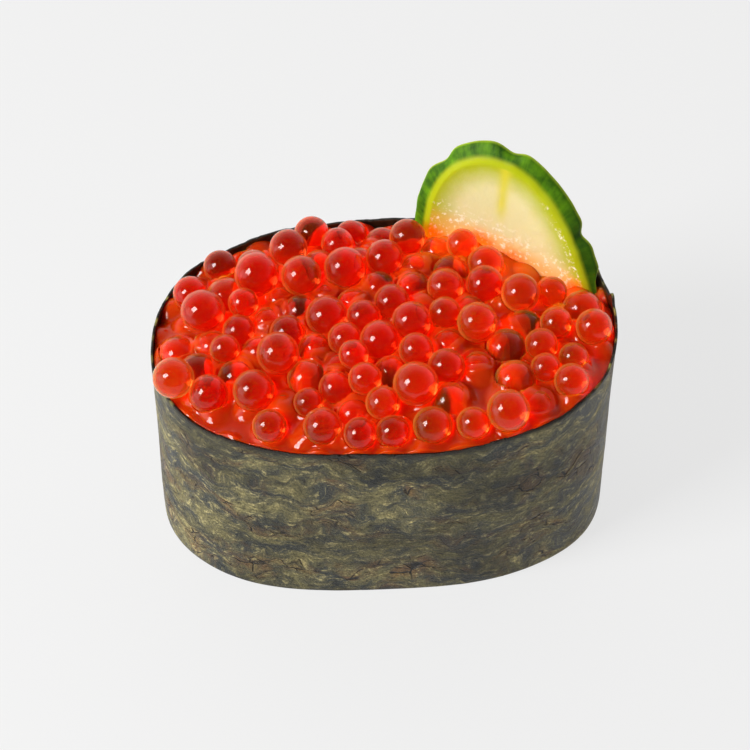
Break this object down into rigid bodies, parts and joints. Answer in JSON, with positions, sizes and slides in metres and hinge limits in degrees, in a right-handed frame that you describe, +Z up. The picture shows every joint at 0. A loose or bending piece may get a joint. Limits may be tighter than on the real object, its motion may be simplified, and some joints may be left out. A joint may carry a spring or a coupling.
{
  "type": "salmon roe gunkan roll",
  "caption": "Oval nori band on its edge round a block of rice, heaped with salmon roe and tucked with a round slice of cucumber.",
  "frame": {"origin": "middle of the roll's flat underside, on the surface that it stands on", "axes": "+X along the roll's long side, towards the end with the cucumber; -Y towards the front, where no cucumber hides the roe; +Z up"},
  "size_m": [0.0586, 0.0397, 0.0436],
  "materials": {
    "dried_seaweed": "pressed and toasted dried seaweed, mottled dark green and brown with a dull sheen",
    "cooked_rice": "cooked short-grain rice, moist and off-white",
    "salmon_egg": "clear wet red-orange egg skin and brine",
    "fresh_cucumber": "fresh cut cucumber, wet pale flesh and dark green skin"
  },
  "bodies": {
    "root": {"nori": "dried_seaweed", "rice": "cooked_rice", "roe": "salmon_egg", "cucumber": "fresh_cucumber"}
  },
  "joints": []
}
